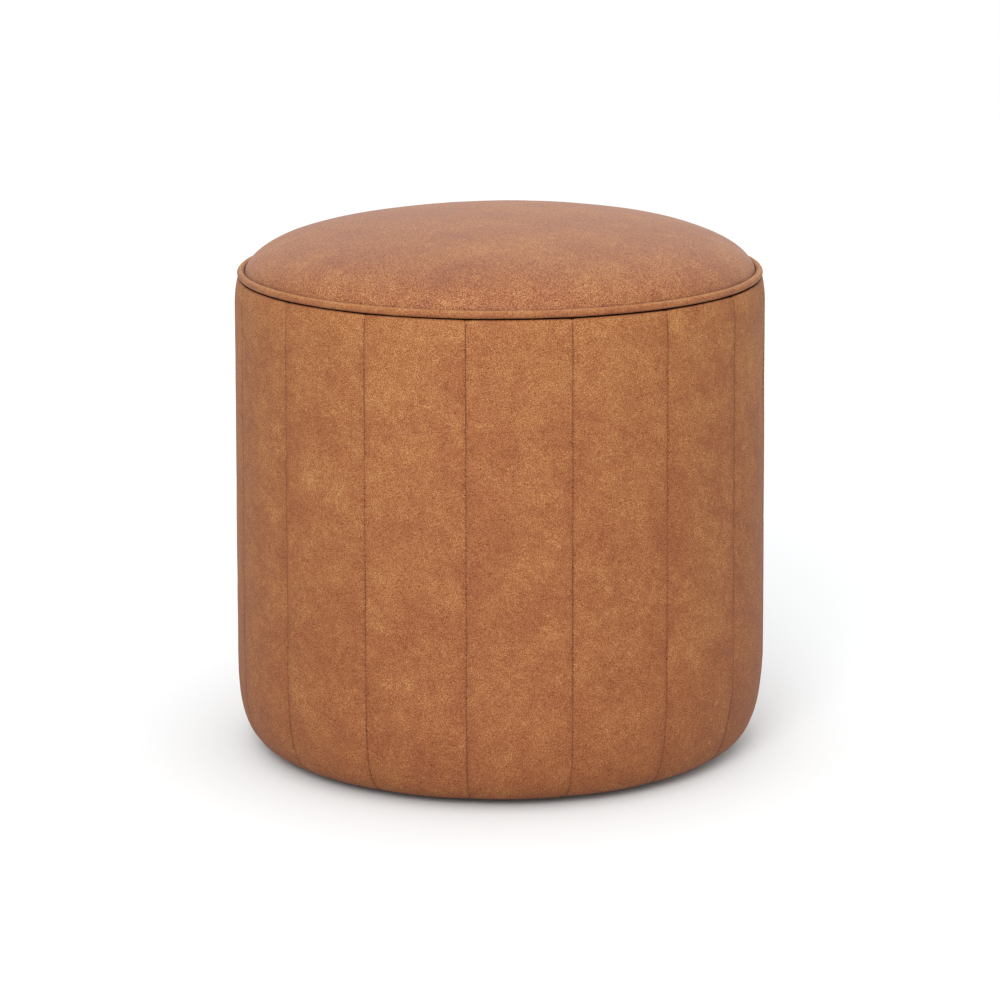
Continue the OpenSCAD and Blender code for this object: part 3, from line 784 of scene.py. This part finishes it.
# ---------------------------------------------------------------- dust cover
def dust_cover():
    """The black cloth under the base: stapled round its edge, slack in the middle, cut out at the glides."""
    x, y = disc_grid(141)
    x, y = x * DUST_R, y * DUST_R
    r, turn = np.hypot(x, y), np.arctan2(y, x)
    glides = []
    for i in range(1, 5):
        low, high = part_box(f"glide_{i}")
        glides.append(((low[0] + high[0]) / 2, (low[1] + high[1]) / 2))
    free = np.clip((DUST_R - 16 * MM - r) / (30 * MM), 0, 1)
    for gx, gy in glides:
        free = free * (1 - np.exp(-(np.hypot(x - gx, y - gy) / (24 * MM)) ** 2 * 1.2))
    flat = np.stack([x, y, 0 * x], axis=-1)
    staple_turn = FIRST_SEAM + PANEL_A / 2
    pleat = np.cos(PANELS * (turn - staple_turn)) * np.exp(-((r - DUST_R + 26 * MM) / (22 * MM)) ** 2)
    sag = free * (0.75 + 0.35 * smooth_noise(flat, 60 * MM, 51) + 0.2 * smooth_noise(flat, 20 * MM, 52))
    sag = sag + 0.3 * np.clip(-pleat, 0, 1) * np.clip((DUST_R - 4 * MM - r) / (12 * MM), 0, 1)
    points = np.stack([x, y, DUST_Z + 0.05 * MM - sag * MM], axis=-1)
    spare = 5.6 * MM                               # radius of the hole round a glide's boss
    hole = np.zeros(r.shape, bool)
    for gx, gy in glides:
        away = np.hypot(x - gx, y - gy)
        inside = away < spare
        hole |= inside
        edge = (away < spare + 2.4 * MM) & ~inside
        points[edge, 0] = gx + (x - gx)[edge] / away[edge] * spare
        points[edge, 1] = gy + (y - gy)[edge] / away[edge] * spare
    mesh = grid_mesh("dust_cover_cloth", points)
    cut = bmesh.new()
    cut.from_mesh(mesh)
    cut.verts.ensure_lookup_table()
    bmesh.ops.delete(cut, geom=[cut.verts[i] for i in np.flatnonzero(hole)], context="VERTS")
    cut.to_mesh(mesh)
    cut.free()
    mesh.shade_smooth()
    mesh.materials.append(nonwoven("dust_cover_nonwoven"))
    piece = link(bpy.data.objects.new("dust_cover_cloth", mesh), "dust_cover")
    thickened(piece, "cloth", 0.4 * MM, 1)


# ---------------------------------------------------------------- the CAD nodes that stay
def finish_nodes():
    """Gives every CAD node that stays its own material."""
    made = {
        "plywood": wood("plywood", (0.62, 0.44, 0.26), (0.40, 0.26, 0.14), (1.0, 0.08, 1.0), 45.0, 1.5 * MM),
        "pine": wood("pine", (0.70, 0.50, 0.29), (0.47, 0.28, 0.13)),
        "fibreboard": fibres("fibreboard", (0.26, 0.16, 0.09), (0.15, 0.085, 0.045), 420.0, 0.75, 0.0002,
                             0.05),
        "wood_screws": metal("zinc_plated_screws", (0.75, 0.6, 0.3), (0.5, 0.42, 0.25)),
        "staples": metal("staple_wire", (0.6, 0.6, 0.62), (0.42, 0.42, 0.43), 0.28),
        "glide_screws": metal("glide_screws", (0.62, 0.62, 0.63), (0.4, 0.4, 0.41)),
        "foam": fibres("foam", (0.86, 0.80, 0.58), (0.70, 0.62, 0.40), 700.0),
        "wadding": fibres("wadding", (0.88, 0.88, 0.86), (0.70, 0.70, 0.69), 190.0, 0.95, 0.0012, 0.5),
        "piping_cord": fibres("piping_cord", (0.80, 0.78, 0.72), (0.55, 0.53, 0.48), 900.0),
        "thread": thread("welt_thread", THREAD_COLOUR),
        "glides": plastic("glide_plastic", (0.012, 0.012, 0.013)),
    }
    slots = {s["node"]: s["material_slot"] for s in frame["record"]["subparts"]}
    for name, obj in frame["nodes"].items():
        material = made.get(slots[name])
        if material is None:
            continue
        if obj.material_slots:
            for s in obj.material_slots:
                s.material = material
        else:
            obj.data.materials.append(material)


# ---------------------------------------------------------------- studio
def studio():
    """A white tent, a pale floor, one soft light in front and the photograph's camera."""
    scene = bpy.context.scene
    scene.view_settings.view_transform = "Standard"
    world = bpy.data.worlds.new("studio")
    world.use_nodes = True
    # a white tent that is brightest overhead and darkest to the left and right, the left most of all
    nodes, links = world.node_tree.nodes, world.node_tree.links
    way = nodes.new("ShaderNodeSeparateXYZ")
    links.new(nodes.new("ShaderNodeTexCoord").outputs["Generated"], way.inputs[0])

    def math_node(op, *values):
        node = nodes.new("ShaderNodeMath")
        node.operation = op
        for k, v in enumerate(values):
            if isinstance(v, bpy.types.NodeSocket):
                links.new(v, node.inputs[k])
            else:
                node.inputs[k].default_value = v
        return node.outputs[0]

    light = math_node("MULTIPLY_ADD", math_node("MAXIMUM", way.outputs[2], 0.0), 0.95, 0.72)
    light = math_node("MULTIPLY_ADD", math_node("POWER", way.outputs[1], 2.0), 0.52, light)
    light = math_node("MULTIPLY_ADD", math_node("POWER", way.outputs[0], 2.0), -0.2, light)
    front = math_node("MAXIMUM", math_node("MULTIPLY", way.outputs[1], -1.0), 0.0)
    light = math_node("MULTIPLY_ADD", math_node("POWER", front, 3.0), 0.5, light)
    light = math_node("MULTIPLY_ADD", way.outputs[0], 0.14, light)
    nodes["Background"].inputs[0].default_value = (1, 1, 1, 1)
    links.new(light, nodes["Background"].inputs[1])
    scene.world = world

    # a pale matt floor, tinted against the warm light that the leather throws on it
    t = Tree("pale_floor")
    floor_noise = t.noise(t.add("ShaderNodeTexCoord", 3), 3.0, 2.0)
    colour = t.ramp(floor_noise, (0.0, (0.66, 0.673, 0.678)), (1.0, (0.675, 0.688, 0.693)))
    floor_material = t.finish(colour, 0.9, None, Specular_IOR_Level=0.1)
    half = 14.0
    corners = np.array([[[x, y, 0] for x in (-half, half)] for y in (-half, half)])
    mesh = grid_mesh("floor", corners)
    mesh.materials.append(floor_material)
    floor = bpy.data.objects.new("floor", mesh)
    scene.collection.objects.link(floor)

    softbox = bpy.data.lights.new("key", "AREA")
    softbox.shape, softbox.size, softbox.energy = "DISK", 1.8, 100
    key = bpy.data.objects.new("key", softbox)
    scene.collection.objects.link(key)
    key.location = (-0.8, -3.6, 2.3)
    key.rotation_mode = "QUATERNION"
    key.rotation_quaternion = (Vector((0, 0, 0.25)) - Vector(key.location)).to_track_quat("-Z", "Y")

    lens = bpy.data.cameras.new("camera")
    lens.lens, lens.sensor_width = 134.28, 36.0
    lens.clip_start, lens.clip_end = 0.1, 60.0
    camera = bpy.data.objects.new("camera", lens)
    scene.collection.objects.link(camera)
    away, height, aside = 3.192, 0.951, -0.0003
    pitch, roll = math.radians(12.98), math.radians(-0.1)
    place = Matrix.Translation((aside, -away, height))
    camera.matrix_world = place @ Matrix.Rotation(math.pi / 2 - pitch, 4, "X") @ Matrix.Rotation(roll, 4, "Z")
    scene.camera = camera


side_panels()
side_stitches()
piping()
top_cover()
padding()
dust_cover()
finish_nodes()
studio()
